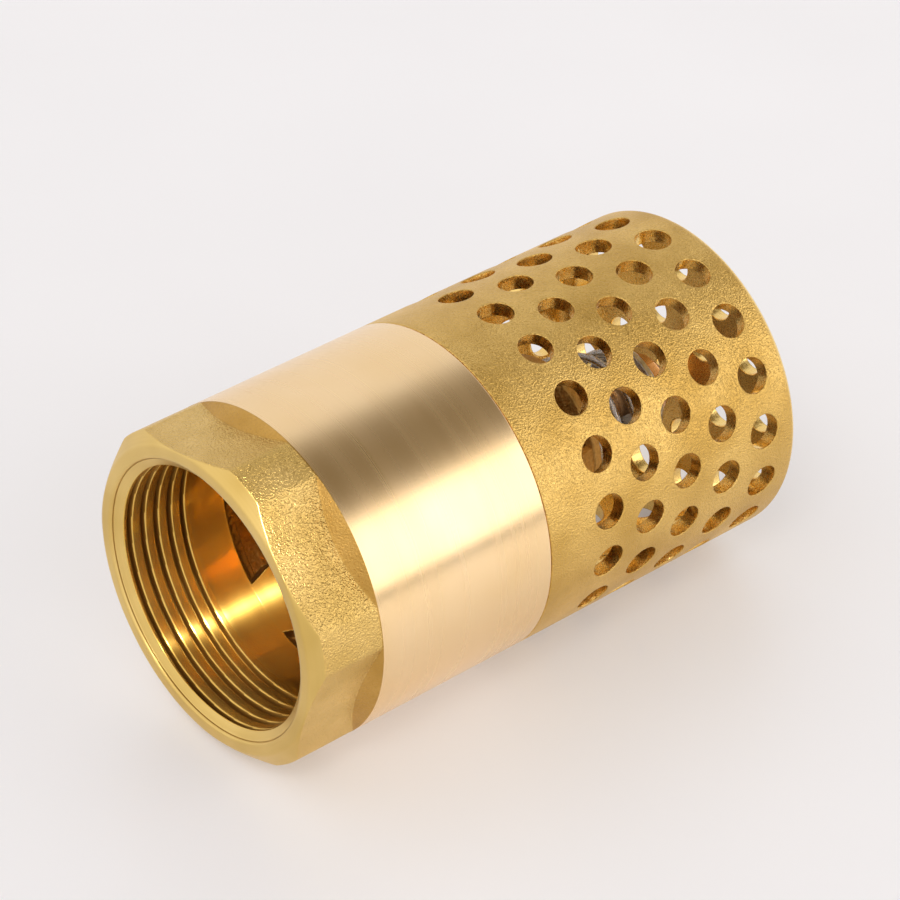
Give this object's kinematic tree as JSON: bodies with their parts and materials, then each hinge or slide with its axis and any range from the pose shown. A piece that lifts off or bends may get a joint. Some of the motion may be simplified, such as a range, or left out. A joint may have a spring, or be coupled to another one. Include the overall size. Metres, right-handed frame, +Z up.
{
  "type": "foot valve",
  "caption": "Brass foot valve: spring-loaded check valve with a drilled strainer cup and a female pipe thread, for the lower end of a suction pipe.",
  "frame": {"origin": "on the floor, below the middle of the valve's length", "axes": "+X along the valve's axis towards the strainer's end wall, +Z up, the valve lying on its side"},
  "size_m": [0.089, 0.05, 0.05],
  "materials": {
    "machined_brass": "turned, satin",
    "cast_brass": "as cast and blasted",
    "spring_steel": "drawn wire",
    "steel": "satin",
    "seal_rubber": "matt"
  },
  "bodies": {
    "housing": {"valve_body": "machined_brass", "strainer_basket": "cast_brass", "guide_cage": "cast_brass", "body_gasket": "seal_rubber", "return_spring": "spring_steel"},
    "spring_seat": {"spring_washer": "steel"},
    "poppet": {"valve_stem": "machined_brass", "poppet_disc": "machined_brass", "seat_seal": "seal_rubber", "seal_retainer": "machined_brass", "poppet_nut": "machined_brass", "stem_nut": "machined_brass"}
  },
  "joints": [
    {"name": "poppet_lift", "type": "slide", "parent": "housing", "child": "spring_seat", "axis": [-1, 0, 0], "range_m": [0, 0.007], "stiffness_N_per_m": 250, "springref_m": -0.01, "deforming": ["return_spring"]},
    {"name": "poppet_spin", "type": "hinge", "parent": "spring_seat", "child": "poppet", "pos_m": [0, 0, 0.025], "axis": [1, 0, 0], "continuous": true}
  ]
}
